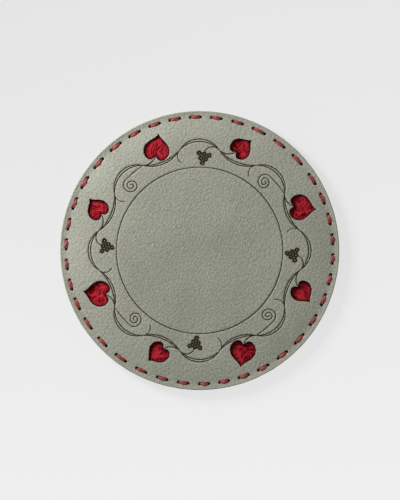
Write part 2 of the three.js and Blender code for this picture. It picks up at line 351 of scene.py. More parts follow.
def leather_layer(name, side, thickness, openings, inner, relief, finish):
    """A leather layer on one side of the glued joint. Its shown sheet is triangulated and stands
    relief(plan) over the joint, the rim is a profile carried round the edge and worn in by waves, the
    openings have straight walls, and a flat face closes it at the joint."""
    loops = [circle(0, SHEET_EDGE, RIM_POINTS), *openings]
    plan = np.concatenate([*loops, inner])
    height, grain, char = relief(plan)

    rim_radius, rim_height = rim_profile(thickness)
    rim_plan = (rim_radius[:, None] * circle(0, 1, RIM_POINTS)).ravel()
    rim_level = np.repeat(rim_height, RIM_POINTS)
    worn = np.clip((thickness - rim_level) / RIM_ROUND, 0, 1)
    unrest = waves(rim_plan + 1j * RIM_WEAR_SHIFT * rim_level, RIM_WEAR_LENGTH, RIM_WEAR_SEED)
    rim_plan = rim_plan * (1 - RIM_WEAR * worn * (1 + unrest))
    handled = HANDLED * np.clip((np.abs(plan) - ROW_RADIUS) / STITCH_INSET, 0, 1)
    feet = np.concatenate(openings)

    all_plan = np.concatenate([plan, rim_plan, feet])
    level = np.concatenate([height, rim_level, np.zeros(len(feet))])
    points = np.column_stack([all_plan.real, all_plan.imag, JOIN_HEIGHT + side * level])
    marks = {
        "grain": np.concatenate([grain, np.full(len(rim_plan), RIM_GRAIN), np.zeros(len(feet))]),
        "char": np.concatenate([char, np.zeros(len(rim_plan)), np.ones(len(feet))]),
        "edge": np.concatenate([handled, HANDLED + (1 - HANDLED) * worn, np.zeros(len(feet))]),
    }

    rings = [np.arange(RIM_POINTS), *(len(plan) + np.arange(len(rim_plan)).reshape(-1, RIM_POINTS))]
    faces = [triangulate(loops, inner)]
    faces += [band(ring, next_ring) for ring, next_ring in zip(rings, rings[1:])]
    top, foot = RIM_POINTS, len(plan) + len(rim_plan)
    for loop in openings:
        numbers = np.arange(len(loop))
        faces.append(band(foot + numbers, top + numbers))
        top, foot = top + len(loop), foot + len(loop)
    joint = triangulate([rim_plan[-RIM_POINTS:], *openings], NO_POINTS)
    numbering = np.concatenate([rings[-1], len(plan) + len(rim_plan) + np.arange(len(feet))])
    faces.append(numbering[joint][:, ::-1])
    faces = np.concatenate(faces)
    return new_piece(name, points, faces if side > 0 else faces[:, ::-1], marks, finish)


class Tone:
    """A socket in a finish. Arithmetic on tones and numbers adds Math nodes."""

    # Numbers of the Mix node's sockets for colours, which share their names with those for other data
    MIX_FACTOR, MIX_FIRST, MIX_LAST = 0, 6, 7
    MIX_RESULT = 2

    def __init__(self, socket):
        self.socket = socket

    def node(self, kind, settings, inputs, output=0):
        """Add a node of any kind, its settings first and then its sockets' values or links, and take
        one of its outputs."""
        tree = self.socket.id_data
        made = tree.nodes.new("ShaderNode" + kind)
        for key, value in settings.items():
            setattr(made, key, value)
        for key, value in inputs.items():
            if isinstance(value, Tone):
                tree.links.new(value.socket, made.inputs[key])
            else:
                made.inputs[key].default_value = value
        return Tone(made.outputs[output])

    def math(self, operation, first, second, clamp=False):
        """A Math node on two tones or numbers, its result held from 0 to 1 where clamp is set."""
        return self.node("Math", {"operation": operation, "use_clamp": clamp}, {0: first, 1: second})

    def __add__(self, other):
        return self.math("ADD", self, other)

    def __radd__(self, other):
        return self.math("ADD", other, self)

    def __sub__(self, other):
        return self.math("SUBTRACT", self, other)

    def __rsub__(self, other):
        return self.math("SUBTRACT", other, self)

    def __mul__(self, other):
        return self.math("MULTIPLY", self, other)

    def __rmul__(self, other):
        return self.math("MULTIPLY", other, self)

    def __truediv__(self, other):
        return self.math("DIVIDE", self, other)

    def __rtruediv__(self, other):
        return self.math("DIVIDE", other, self)

    def clamped(self):
        """This tone held from 0 to 1."""
        return self.math("ADD", self, 0, clamp=True)

    def blend(self, colour, other):
        """Mix two colours by this tone: the first at 0 and the other at 1."""
        inputs = {self.MIX_FACTOR: self, self.MIX_FIRST: colour, self.MIX_LAST: other}
        return self.node("Mix", {"data_type": "RGBA"}, inputs, self.MIX_RESULT)

    def mark(self, name):
        """The value of a piece's own attribute."""
        return self.node("Attribute", {"attribute_name": name}, {}, "Fac")

    def noise(self, scale, detail):
        """Cloudy noise from about 0 to 1 over this place, with so many cells to the metre."""
        return self.node("TexNoise", {}, {"Vector": self, "Scale": scale, "Detail": detail})

    def bump(self, strength, distance):
        """The normal of a surface that this tone raises by up to a distance in metres."""
        inputs = {"Strength": strength, "Distance": distance, "Height": self}
        return self.node("Bump", {}, inputs, "Normal")

    def feed(self, shader, name):
        """Link this tone to a socket of a shader."""
        self.socket.id_data.links.new(self.socket, shader.inputs[name])


def new_finish(name):
    """A material with its surface shader, and its Object coordinates as a tone."""
    finish = bpy.data.materials.new(name)
    finish.use_nodes = True
    shader = finish.node_tree.nodes["Principled BSDF"]
    return finish, shader, Tone(shader.outputs["BSDF"]).node("TexCoord", {}, {}, "Object")


def srgb(red, green, blue):
    """A colour given in display values from 0 to 255, as the linear colour that a socket takes, by the
    sRGB curve: a straight line for the darkest tones and a power of 2.4 above it."""
    share = np.array([red, green, blue]) / 255
    linear = np.where(share <= 0.04045, share / 12.92, ((share + 0.055) / 1.055) ** 2.4)
    return (*linear.tolist(), 1.0)


CHAR_BLACK = srgb(24, 15, 4)
SCORCH_BROWN = srgb(84, 74, 52)
CLOUD_SCALE = 60
SPECKLE_SCALE = 1500
PORE_SCALE = 2600
FIBRE_SCALE = 700
FIBRE_FLATNESS = 6  # times finer through the leather than along it
SKIN_BUMP = 0.0002
SAGE_SHEEN = 0.2


def sage_leather(name, pale, deep, burnished):
    """Dyed leather: pale on the pebbles and deep in the creases, burnished and fibrous at the cut edge,
    brown where it is scorched and black where it is burnt."""
    finish, shader, place = new_finish(name)
    grain, char, edge = place.mark("grain"), place.mark("char"), place.mark("edge")
    cloud = place.noise(CLOUD_SCALE, 3)
    speckle = place.noise(SPECKLE_SCALE, 4)
    tint = (0.62 * grain + 0.75 * (cloud - 0.5) + 0.35 * (speckle - 0.5) + 0.16).clamped()
    colour = tint.blend(deep, pale)
    flattened = place.node("Mapping", {}, {"Vector": place, "Scale": (1, 1, FIBRE_FLATNESS)})
    fibres = flattened.noise(FIBRE_SCALE, 4)
    cut_edge = (0.5 + 2.2 * (fibres - 0.5)).clamped().blend(burnished, pale)
    colour = edge.blend(colour, cut_edge)
    # The char mark is scorch and burn; round the face's holes it is also painted shade.
    colour = (char * 1.5).clamped().blend(colour, SCORCH_BROWN)
    colour = (char * 1.7 - 0.6).clamped().blend(colour, CHAR_BLACK)
    colour.feed(shader, "Base Color")
    roughness = 0.72 - 0.14 * grain + 0.12 * (speckle - 0.5) - 0.2 * edge + 0.2 * char
    roughness.clamped().feed(shader, "Roughness")
    pore_inputs = {"Vector": place, "Scale": PORE_SCALE}
    pores = place.node("TexVoronoi", {"feature": "SMOOTH_F1"}, pore_inputs, "Distance")
    skin = 0.6 * speckle + 0.5 * pores + 1.2 * edge * fibres
    skin.bump(0.8, SKIN_BUMP).feed(shader, "Normal")
    shader.inputs["Specular IOR Level"].default_value = SAGE_SHEEN
    return finish


BACKING_PALE = srgb(152, 152, 140)
BACKING_DEEP = srgb(118, 119, 106)
BACKING_BURNISHED = srgb(132, 128, 114)
BACKING_SKIN = 50
BACKING_SPACING = 0.6
BACKING_SEED = 11


def backing_relief(plan):
    """The underside: its thickness, less the grain where no groove is, less the stitching groove with
    its short steep walls. It is burnt round each hole."""
    grain = leather_grain(plan, BACKING_SKIN)
    wall = (GROOVE_HALF_WIDTH - np.abs(np.abs(plan) - ROW_RADIUS)) / GROOVE_WALL
    groove = np.clip(wall, 0, 1)
    height = BACKING_THICKNESS - UNDER_GRAIN_DEPTH * (1 - grain) * (1 - groove) - GROOVE_DEPTH * groove
    char = np.clip(1 - hole_distance(plan) / UNDER_SOOT, 0, 1)
    return height, grain * (1 - GROOVE_WEAR * groove), char


holes = hole_loops([0])
groove_rows = np.concatenate(
    [
        circle(0, ROW_RADIUS + side * (GROOVE_HALF_WIDTH + step), RIM_POINTS)
        for side in (-1, 1)
        for step in (GROOVE_SHOULDER, 0, -GROOVE_WALL)
    ]
)
backing_taken = np.concatenate([*holes, circle(0, SHEET_EDGE, RIM_POINTS), groove_rows])
backing_fill = lattice(SHEET_EDGE, BACKING_SPACING, BACKING_SEED)
backing_fill = clear_of(backing_fill, backing_taken, BACKING_SPACING / 2)
backing_fill = backing_fill[hole_distance(backing_fill) > HOLE_CLEAR]
backing = leather_layer(
    "backing_sheet",
    -1,
    BACKING_THICKNESS,
    holes,
    np.concatenate([groove_rows, backing_fill]),
    backing_relief,
    sage_leather("sage_backing_leather", BACKING_PALE, BACKING_DEEP, BACKING_BURNISHED),
)
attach(backing, "root")
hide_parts("backing_leather")

# Face leather
# The upper layer: the same sage leather, grain side up. Eight leaf-shaped windows are cut through it
# with a hot beam that leaves their walls black, and the vine between them is burnt into the grain as
# fine shallow lines. The stitches pull its edge down and press a dent each.
face_low, face_high = (np.array(corner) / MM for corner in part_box("face_leather"))
FACE_THICKNESS = face_high[2] - face_low[2]
FACE_TOP = face_high[2]

STITCH_PULL = 0.75  # by which the row lies below the level middle
CROWN_WIDTH = 10  # over which the face falls to the row
CROWN_RADIUS = (CROWN_WIDTH**2 + STITCH_PULL**2) / (2 * STITCH_PULL)
LIP_SLOPE = 0.11  # of the rim outside the row
VALLEY_ROUND = 0.12


def crown(radius):
    """Height of the face against its level middle: a wide arc falls to the row of stitches, a lip rises
    a little from there to the rim, and the higher of the two is taken with a soft turn between them."""
    out = np.maximum(radius - (ROW_RADIUS - CROWN_WIDTH), 0)
    arc = np.sqrt(CROWN_RADIUS**2 - out**2) - CROWN_RADIUS
    lip = LIP_SLOPE * (radius - ROW_RADIUS) - STITCH_PULL
    return (arc + lip + np.hypot(arc - lip, VALLEY_ROUND)) / 2


thread_low, thread_high = (np.array(corner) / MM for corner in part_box("edge_stitching"))
THREAD_HALF_WIDTH = 0.67
THREAD_HALF_HEIGHT = 0.5
NECK_RADIUS = 0.2  # of the thread in a hole
FRONT_CLEARANCE = 0.05  # room above for the plumpest stitches
FRONT_LEVEL = thread_high[2] - THREAD_HALF_HEIGHT - FRONT_CLEARANCE
BEND_RADIUS = 0.55  # of the thread's bends beside a hole
HOLE_LEAN = 0.3  # each way from a hole's middle, by which the thread slants through it
HOLE_ALONG = STITCH_SHARE / 2 * ROW_PITCH  # from the middle of a stitch to its holes
ARCH_TURN = np.radians(25)  # of a stitch between its middle and a bend
ARCH_RADIUS = (HOLE_ALONG - HOLE_LEAN - BEND_RADIUS * (1 - np.sin(ARCH_TURN))) / np.sin(ARCH_TURN)
BEDDING = 0.88  # size of a dent against the thread in it
BED_CLIMB = 1.8  # slope of its sides


def stitch_fullness(along):
    """How full a stitch is at a distance along the row from its middle, 1 there and 0 at its two holes:
    the root of a quarter wave."""
    share = np.clip(along / HOLE_ALONG, -1, 1)
    return np.sqrt(np.cos(share * np.pi / 2))


def stitch_halves(fullness):
    """Half width and half height of a thread that is so full: from a round neck to a flat middle."""
    width = NECK_RADIUS + (THREAD_HALF_WIDTH - NECK_RADIUS) * fullness
    return width, NECK_RADIUS + (THREAD_HALF_HEIGHT - NECK_RADIUS) * fullness


def arch_drop(along):
    """How far a stitch has come down at a distance from its middle: a circular arc to its holes."""
    return ARCH_RADIUS - np.sqrt(ARCH_RADIUS**2 - np.minimum(along, HOLE_ALONG) ** 2)


def bed_height(plan):
    """Height over the joint of the trough that a stitch presses into the face: the lower half of the
    thread's oval, as wide and deep as the stitch is full there, with a steep slope up on both sides of
    it."""
    along = along_stitch(plan)
    half_width, half_height = BEDDING * np.array(stitch_halves(stitch_fullness(along)))
    aside = np.abs(np.abs(plan) - ROW_RADIUS) / half_width
    middle = FRONT_LEVEL - JOIN_HEIGHT - arch_drop(along)
    oval = middle - half_height * np.sqrt(np.clip(1 - aside**2, 0, 1))
    slope = BED_CLIMB * half_width * np.maximum(aside - 1, 0)
    return np.where(along < HOLE_ALONG, oval + slope, FACE_THICKNESS)


# The right half of a leaf, as shares of its width and length: two cubic curves, from the tip to the
# shoulder and from there round a lobe to the notch
LEAF_NOTCH = -0.3
LEAF_SHOULDER = 0.5 - 0.14j
LEAF_SIDE = (0.5j, 0.12 + 0.27j, 0.5 + 0.2j, LEAF_SHOULDER)
LEAF_LOBE = (LEAF_SHOULDER, 0.5 - 0.42j, 0.15 - 0.66j, LEAF_NOTCH * 1j)
LEAF_CURVE_POINTS = 24
LEAF_PAIRS = 4
LEAF_SIZES = ((9.6, 9.2), (8.2, 7.8))  # length and width of the large leaves and of the small
LEAF_INSET = 10  # of the leaves' middles from the rim
LEAF_RADIUS = RIM_RADIUS - LEAF_INSET
LEAF_START = 22.5  # degrees, of the first leaf
LEAF_LEAN = -30  # degrees, of a tip from the outward way


def leaf_outline(length, width):
    """A heart-shaped leaf about 0, tip up: two cubic curves for its right half, and their mirrors."""
    t = np.arange(LEAF_CURVE_POINTS) / LEAF_CURVE_POINTS
    left = [tuple(-np.conj(p) for p in curve[::-1]) for curve in (LEAF_LOBE, LEAF_SIDE)]
    curves = [
        a * (1 - t) ** 3 + 3 * b * t * (1 - t) ** 2 + 3 * c * t**2 * (1 - t) + d * t**3
        for a, b, c, d in (LEAF_SIDE, LEAF_LOBE, *left)
    ]
    outline = np.concatenate(curves)[::-1]
    return outline.real * width + 1j * outline.imag * length


def leaf_place(k):
    """Centre of the k-th leaf and the turn that takes its tip outwards and then over by its lean."""
    angle = np.radians(LEAF_START + k * 180 / LEAF_PAIRS)
    return LEAF_RADIUS * turn(angle), turn(angle - np.pi / 2 + np.radians(LEAF_LEAN))


def leaf_window(k):
    """Outline of the k-th window: its leaf's outline, turned and moved to its place."""
    centre, leaf_turn = leaf_place(k)
    return centre + leaf_turn * leaf_outline(*LEAF_SIZES[k % 2])


windows = [leaf_window(k) for k in range(2 * LEAF_PAIRS)]

# The drawing has angles in degrees. A crest, a trough and a lean are the angles by which an arc leaves
# its chord. The two strands of the vine meet in a node at every half wave
FINE_LINE = 0.06
TENDRIL_LINE = 0.1
BOLD_LINE = 0.13
RING_RADIUS = 29.8
VINE_RADIUS = 36.6
NODE_STEP = 22.5  # round the ring from node to node
VINE_CREST = 47.5
VINE_TROUGH = VINE_CREST - NODE_STEP  # so that a strand runs on smoothly through a node
STRAND_SPREAD = 11  # by which the second strand leaves its chord more than the first
CURL_LENGTH = 4.5
CURL_WAY = 187.5  # from a node to the end of its curl, against the wave's own angle
CURL_LEAN = 50
STALK_LEAN = 40.5
TENDRIL_RADIUS = 36.6
TENDRIL_TURN = 46.5
TENDRIL_LEAN = 5.7
TENDRIL_ROLL = (2.5, 1.85, 1.25, 0.7)  # radii of its half circles
HALF_CIRCLE = 89.9  # lean of an arc that is all but a half circle
BUNCH_RADIUS = 35.4
BUNCH_TURN = -3
BUNCH_WAY = 168  # in which the berries hang
BUNCH_LEAN = 57.6
BERRY_ROWS = (3, 2, 1)
BERRY_START = 0.9  # from the end of the stalk to the first row
BERRY_DROP = 1.6  # from row to row
BERRY_PITCH = 1.85  # within a row
BERRY_RADIUS = 0.55
BERRY_LINE = 0.34


def polar(radius, degrees):
    """The plan vector of a length at an angle in degrees."""
    return radius * turn(np.radians(degrees))


def vine_node(halves):
    """Where the strands of the vine meet, so many half waves round from the middle of a crest."""
    return polar(VINE_RADIUS, NODE_STEP * halves)


def vine_strokes():
    """The pen strokes of a quarter of the ring and vine, each as start, end, the angle by which it
    leaves its chord to the right, and the half widths at its ends and middle. Every stroke is an arc of
    a circle."""
    strokes = [(polar(RING_RADIUS, 0), polar(RING_RADIUS, 90), 45, FINE_LINE, BOLD_LINE)]
    for k in range(2):
        before, after, beyond = (vine_node(2 * k + halves) for halves in (-0.5, 0.5, 1.5))
        for spread in (0, STRAND_SPREAD):
            strokes.append((before, after, VINE_CREST + spread, FINE_LINE, BOLD_LINE))
            strokes.append((after, beyond, -VINE_TROUGH - spread, FINE_LINE, BOLD_LINE))
        curl = polar(CURL_LENGTH, 2 * k * NODE_STEP + CURL_WAY)
        strokes.append((after, after + curl, CURL_LEAN, FINE_LINE, FINE_LINE))
        centre, leaf_turn = leaf_place(k)
        notch = centre + leaf_turn * LEAF_NOTCH * 1j * LEAF_SIZES[k][0]
        strokes.append((beyond, notch, STALK_LEAN, FINE_LINE, BOLD_LINE))
    return strokes


def tendril_strokes():
    """A tendril that rolls up towards the ring: a slight arc from the vine, then ever smaller halves of
    circles."""
    start = polar(TENDRIL_RADIUS, TENDRIL_TURN)
    across = polar(-2, TENDRIL_TURN)
    strokes = [(vine_node(1.5), start, TENDRIL_LEAN, FINE_LINE, TENDRIL_LINE)]
    for radius in TENDRIL_ROLL:
        end = start + across * radius
        strokes.append((start, end, HALF_CIRCLE, TENDRIL_LINE, TENDRIL_LINE))
        start, across = end, -across
    return strokes


def bunch_strokes():
    """A bunch of berries in rows that narrow, on a curled stalk. A berry is a circle drawn with a broad
    pen, in two halves."""
    top = polar(BUNCH_RADIUS, BUNCH_TURN)
    down = polar(1, BUNCH_WAY)
    strokes = [(vine_node(-0.5), top, BUNCH_LEAN, FINE_LINE, BOLD_LINE)]
    for row, count in enumerate(BERRY_ROWS):
        for k in range(count):
            aside = 1j * BERRY_PITCH * (k - (count - 1) / 2)
            berry = top + down * (BERRY_START + BERRY_DROP * row + aside)
            for half in (BERRY_RADIUS, -BERRY_RADIUS):
                strokes.append((berry + half, berry - half, HALF_CIRCLE, BERRY_LINE, BERRY_LINE))
    return strokes


quarter_strokes = vine_strokes() + tendril_strokes() + bunch_strokes()

STROKE_STEP = 0.36  # along a stroke between its points
STROKE_WALL = 0.65  # of the half width, where the points in its walls lie
STROKE_SHOULDER = 0.13  # from its edge to the points outside
LINE_EASE = 0.05  # by which the hollow is wider than the stroke on each side
BURN_REACH = 0.1  # of the burn past the stroke's edge
BURN_FADE = 0.12  # over which it fades


def stroke_arc(start, end, lean):
    """Centre of a stroke's arc, the arm from there to its start, and the angle it turns through."""
    bend = np.radians(lean)
    centre = (start + end) / 2 + 1j * (end - start) / (2 * np.tan(bend))
    return centre, start - centre, 2 * bend


def stroke_width(t, fine, bold):
    """Half width at a share of a stroke: half a wave, from fine at its ends to bold between."""
    return fine + (bold - fine) * np.sin(np.pi * t)


def stroke_rows(start, end, lean, fine, bold):
    """Plan points along a stroke's arc and across it: at its middle, in its walls and just outside."""
    centre, arm, sweep = stroke_arc(start, end, lean)
    steps = max(int(np.abs(arm * sweep) / STROKE_STEP), 2)
    t = np.linspace(0, 1, steps)[:, None]
    width = stroke_width(t, fine, bold)
    wall, shoulder = STROKE_WALL * width, width + STROKE_SHOULDER
    across = np.concatenate([-shoulder, -wall, 0 * width, wall, shoulder], axis=1)
    return (centre + (arm + across * arm / np.abs(arm)) * turn(sweep * t)).ravel()


def engraving(plan):
    """Depth and burn of the lines at plan points, each from 0 to 1: for every stroke, from the distance
    to its arc. A point is turned back into the first quarter, and the strokes of the next quarters are
    tried too."""
    depth, burn = np.zeros(plan.shape), np.zeros(plan.shape)
    quarter = plan * turn(-np.floor(np.angle(plan) / (np.pi / 2)) * np.pi / 2)
    for start, end, lean, fine, bold in quarter_strokes:
        centre, arm, sweep = stroke_arc(start, end, lean)
        for quarter_turn in (1, 1j, -1j):
            seen = quarter * quarter_turn - centre
            t = np.clip(np.angle(seen / (arm * turn(sweep / 2))) / sweep + 0.5, 0, 1)
            gap = np.abs(seen - arm * turn(sweep * t))
            width = stroke_width(t, fine, bold)
            depth = np.maximum(depth, 1 - (gap / (width + LINE_EASE)) ** 2)
            burn = np.maximum(burn, (width + BURN_REACH - gap) / BURN_FADE)
    return np.clip(depth, 0, 1), np.clip(burn, 0, 1)


WINDOW_NEAR = 8  # from a window's middle, within which its edge is looked for
WINDOW_FAR = 5.0  # distance that is given elsewhere


def outline_distance(outline, plan):
    """Distance of plan points from a closed outline: the least over its edges."""
    start, along = outline, np.roll(outline, -1) - outline
    seen = plan[:, None] - start
    t = np.clip((seen * np.conj(along)).real / np.abs(along) ** 2, 0, 1)
    return np.abs(seen - t * along).min(axis=1)


def window_distance(plan):
    """Distance from the nearest window's edge, worked out near the windows and a far one elsewhere."""
    distance = np.full(plan.shape, WINDOW_FAR)
    for window in windows:
        near = np.flatnonzero(np.abs(plan - window.mean()) < WINDOW_NEAR)
        distance[near] = np.minimum(distance[near], outline_distance(window, plan[near]))
    return distance


GRAIN_DEPTH = 0.21
ENGRAVED_DEPTH = 0.2
CUT_LIP_WIDTH = 0.14
CUT_LIP_DROP = 0.07
WINDOW_SOOT = 0.1  # reach of the burn round a window
HOLE_SCORCH_AND_SHADE = 0.12  # from a hole, over which its scorch and painted shade fall by 1
HOLE_BLACKENING = 1.25  # more than 1, so that the leather is quite black beside a hole: scorch, and painted shade that widens the hole's dark dot
RIMWARD_PALE_START = 22  # radius from which the leather gets paler towards the rim
RIMWARD_PALE_WIDTH = 22
RIMWARD_PALE = 0.35  # by which its tone gets paler over that width
FACE_SKIN = 20


def face_relief(plan):
    """The face: its crown, less grain, engraved lines and the softened lips of the cuts, or the trough
    under a stitch where that is lower. It is burnt in the lines and along the cuts, blackened round the
    holes by scorch and painted shade, and paler towards the rim."""
    grain = leather_grain(plan, FACE_SKIN)
    depth, burn = engraving(plan)
    window_gap, hole_gap = window_distance(plan), np.maximum(hole_distance(plan), 0)
    lip = np.exp(-((np.minimum(window_gap, hole_gap) / CUT_LIP_WIDTH) ** 2))
    height = FACE_THICKNESS + crown(np.abs(plan)) - GRAIN_DEPTH * (1 - grain)
    height = np.minimum(height - ENGRAVED_DEPTH * depth - CUT_LIP_DROP * lip, bed_height(plan))
    # Black along the cuts: scorch at the windows, and round the holes scorch with painted shade that
    # widens each hole's dark dot.
    cut_char = np.maximum(1 - window_gap / WINDOW_SOOT, HOLE_BLACKENING - hole_gap / HOLE_SCORCH_AND_SHADE)
    char = np.maximum(burn, np.clip(cut_char, 0, 1))
    # The tone gets paler towards the rim.
    stretched = np.clip((np.abs(plan) - RIMWARD_PALE_START) / RIMWARD_PALE_WIDTH, 0, 1)
    return height, grain + RIMWARD_PALE * stretched, char


WINDOW_LIPS = (0.1, 0.24)  # from a cut to the rows of points round it
HOLE_LIPS = (0.1, 0.28)
BED_ASIDES = (0.35, 0.66, 0.82, 0.92, 1.15, 1.4)  # of the thread's half width, where rows of points lie
BED_REACH = 1.8  # of those rows from the middle of a stitch
BED_STEPS = 21
BED_HOLE_GAP = 0.06
LINE_WINDOW_GAP = 0.12
LINE_HOLE_GAP = 0.2
ROW_GAP = 0.075  # side of the squares in which one of these points is kept
FACE_SPACING = 0.37
FACE_CLEAR = 0.18  # between them and the filling
FACE_SEED = 12
FACE_PALE = srgb(166, 167, 153)
FACE_DEEP = srgb(129, 131, 117)
FACE_BURNISHED = srgb(142, 139, 125)


def grown(outline, gap):
    """An outline moved outwards by a gap, along the mean normal of the two edges at each point."""
    along = np.roll(outline, -1) - np.roll(outline, 1)
    return outline - 1j * gap * along / np.abs(along)


def bed_rows(aside, along):
    """A point in every stitch's dent, a share of the thread's half width aside and a distance along."""
    radius = ROW_RADIUS + aside * stitch_halves(stitch_fullness(along))[0]
    return radius * turn(row_angle(np.arange(STITCHES) + along / ROW_PITCH))


def off_windows(points):
    """The points that lie in none of the windows."""
    return points[~np.any([inside(window, points) for window in windows], axis=0)]


window_rows = [grown(window, lip) for window in windows for lip in WINDOW_LIPS]
bed_asides = np.concatenate([-np.array(BED_ASIDES[::-1]), [0], BED_ASIDES])
stitch_rows = np.concatenate(
    [
        bed_rows(aside, along)
        for aside in bed_asides
        for along in np.linspace(-BED_REACH, BED_REACH, BED_STEPS)
    ]
)
stitch_rows = stitch_rows[hole_distance(stitch_rows) > BED_HOLE_GAP]
quarter_rows = np.concatenate([stroke_rows(*stroke) for stroke in quarter_strokes])
line_rows = np.concatenate([quarter_rows * 1j**quarter for quarter in range(4)])
line_rows = line_rows[window_distance(line_rows) > LINE_WINDOW_GAP]
line_rows = off_windows(line_rows[hole_distance(line_rows) > LINE_HOLE_GAP])
face_rows = np.concatenate([*window_rows, *hole_loops(HOLE_LIPS), stitch_rows, line_rows])
face_rows = thinned(face_rows, ROW_GAP)
face_taken = np.concatenate([*holes, *windows, circle(0, SHEET_EDGE, RIM_POINTS), face_rows])
face_fill = clear_of(lattice(SHEET_EDGE, FACE_SPACING, FACE_SEED), face_taken, FACE_CLEAR)
face_fill = off_windows(face_fill[hole_distance(face_fill) > HOLE_CLEAR])
face = leather_layer(
    "face_sheet",
    1,
    FACE_THICKNESS + crown(SHEET_EDGE),
    [*holes, *windows],
    np.concatenate([face_rows, face_fill]),
    face_relief,
    sage_leather("sage_face_leather", FACE_PALE, FACE_DEEP, FACE_BURNISHED),
)
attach(face, "root")
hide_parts("face_leather")

# Red leaf inlays
# Eight leaves cut from thin crimson goatskin and glued to the backing inside the windows, below the
# level of the face. Each is cut from another part of the skin, so its creases run their own way.
inlay_low, inlay_high = (np.array(corner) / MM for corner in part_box("red_leaf_inlay_1"))
INLAY_THICKNESS = inlay_high[2] - inlay_low[2]
INLAY_GAP = 0.08  # to the wall of its window
INLAY_ROUND = 0.16  # radius of its upper edge
INLAY_ROUND_ROWS = (0.25, 0.6, 1.1)  # shares of it, where rows of points go round
INLAY_REACH = 8  # of the filling, past the largest leaf
INLAY_SKIN = 100
INLAY_SKIN_STEP = 10
CREASE_DEPTH = 0.24
CREASE_SPACING = 0.16
CREASE_DRAW = 0.75  # less than 1, so that the creases are longer one way
CREASE_BEND = 0.6  # by the long waves
CREASE_BEND_LENGTH = 5
WIDE_RIDGE = 2.7
NARROW_RIDGE = 1.4
RIDGE_WIDTH = 0.45
INLAY_PEBBLE = 0.65
RECESS_SHADE_WIDTH = 1.1  # reach of the scorch and painted recess shade from the cut
RECESS_SHADE_FALL = 1.5  # power by which it falls off
INLAY_DEEP = srgb(97, 0, 8)
INLAY_PALE = srgb(205, 49, 62)
INLAY_SCORCH_AND_SHADE = srgb(38, 4, 7)
INLAY_CLOUD_SCALE = 220
INLAY_SPECKLE_SCALE = 2600
INLAY_BUMP = 0.00005
INLAY_SHEEN = 0.05


def ridge(plan, length, salt):
    """Branching ridges, 1 on the lines where waves of a length pass through 0 and falling off to both
    sides as a bell curve."""
    return np.exp(-((waves(plan, length, salt) / RIDGE_WIDTH) ** 2))


def crease_height(plan, salt):
    """Creased skin from 0 to 1: wide and narrow ridges, drawn out along the piece's own direction and
    bent by long waves, and pebbles."""
    along = plan * turn(np.random.default_rng(salt).uniform(0, np.pi))
    drawn = along.real + 1j * CREASE_DRAW * along.imag
    bend = waves(plan, CREASE_BEND_LENGTH, salt + 4) + 1j * waves(plan, CREASE_BEND_LENGTH, salt + 5)
    bent = drawn + CREASE_BEND * bend
    ridges = 0.45 * ridge(bent, WIDE_RIDGE, salt + 1) + 0.3 * ridge(bent, NARROW_RIDGE, salt + 2)
    return ridges + 0.25 * pebbles(bent, INLAY_PEBBLE, salt + 3)


def crimson_leather():
    """Red goatskin: pinker on the creases as painted highlight and dark between them as painted shade,
    and dark along the cut with scorch and painted shade of the recess.
    """
    finish, shader, place = new_finish("crimson_inlay_leather")
    crease, char = place.mark("crease"), place.mark("char")
    cloud = place.noise(INLAY_CLOUD_SCALE, 3)
    speckle = place.noise(INLAY_SPECKLE_SCALE, 4)
    # Pale on the raised creases as painted highlight and deep between them as painted shade, with random
    # cloud and speckle.
    tint = (1.3 * crease + 0.8 * (cloud - 0.5) + 0.5 * (speckle - 0.5) - 0.14).clamped()
    colour = tint.blend(INLAY_DEEP, INLAY_PALE)
    # The char mark darkens the margin: scorch of the cut and painted shade of the recess round it.
    char.blend(colour, INLAY_SCORCH_AND_SHADE).feed(shader, "Base Color")
    (0.68 - 0.2 * crease + 0.2 * char).clamped().feed(shader, "Roughness")
    speckle.bump(0.6, INLAY_BUMP).feed(shader, "Normal")
    shader.inputs["Specular IOR Level"].default_value = INLAY_SHEEN
    return finish


def leaf_inlay(k, finish):
    """A leaf as a triangulated sheet, creased on top and rounded over at the cut by a quarter circle,
    on a straight wall and a flat foot."""
    centre, leaf_turn = leaf_place(k)
    outline = grown(leaf_outline(*LEAF_SIZES[k % 2]), -INLAY_GAP)
    rows = np.concatenate([grown(outline, -INLAY_ROUND * share) for share in INLAY_ROUND_ROWS])
    fill = lattice(INLAY_REACH, CREASE_SPACING, k)
    fill = clear_of(fill[inside(outline, fill)], np.concatenate([outline, rows]), CREASE_SPACING / 2)
    inner = np.concatenate([thinned(rows[inside(outline, rows)], INLAY_ROUND / 3), fill])
    flat = np.concatenate([outline, inner])
    gap = outline_distance(outline, flat)
    over = np.clip(1 - gap / INLAY_ROUND, 0, 1)
    crease = crease_height(flat, INLAY_SKIN + INLAY_SKIN_STEP * k)
    top = INLAY_THICKNESS - CREASE_DEPTH * (1 - crease) * (1 - over)
    top = top - INLAY_ROUND * (1 - np.sqrt(1 - over**2))
    placed = centre + leaf_turn * np.concatenate([flat, outline])
    level = np.concatenate([top, np.zeros(len(outline))])
    points = np.column_stack([placed.real, placed.imag, JOIN_HEIGHT + level])
    upper, foot = np.arange(len(outline)), len(flat) + np.arange(len(outline))
    sheet = triangulate([outline], inner)
    base = triangulate([outline], NO_POINTS)
    faces = np.concatenate([sheet, band(upper, foot), foot[base][:, ::-1]])
    # Dark margin along the cut: scorch, and painted shade where the window's wall shades the recess.
    scorch_and_shade = np.clip(1 - gap / RECESS_SHADE_WIDTH, 0, 1) ** RECESS_SHADE_FALL
    marks = {
        "crease": np.concatenate([crease, np.zeros(len(outline))]),
        "char": np.concatenate([scorch_and_shade, np.ones(len(outline))]),
    }
    return new_piece(f"red_leaf_{k + 1}", points, faces, marks, finish)


crimson = crimson_leather()
for k in range(2 * LEAF_PAIRS):
    leaf = leaf_inlay(k, crimson)
    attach(leaf, "root")
    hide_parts(f"red_leaf_inlay_{k + 1}")

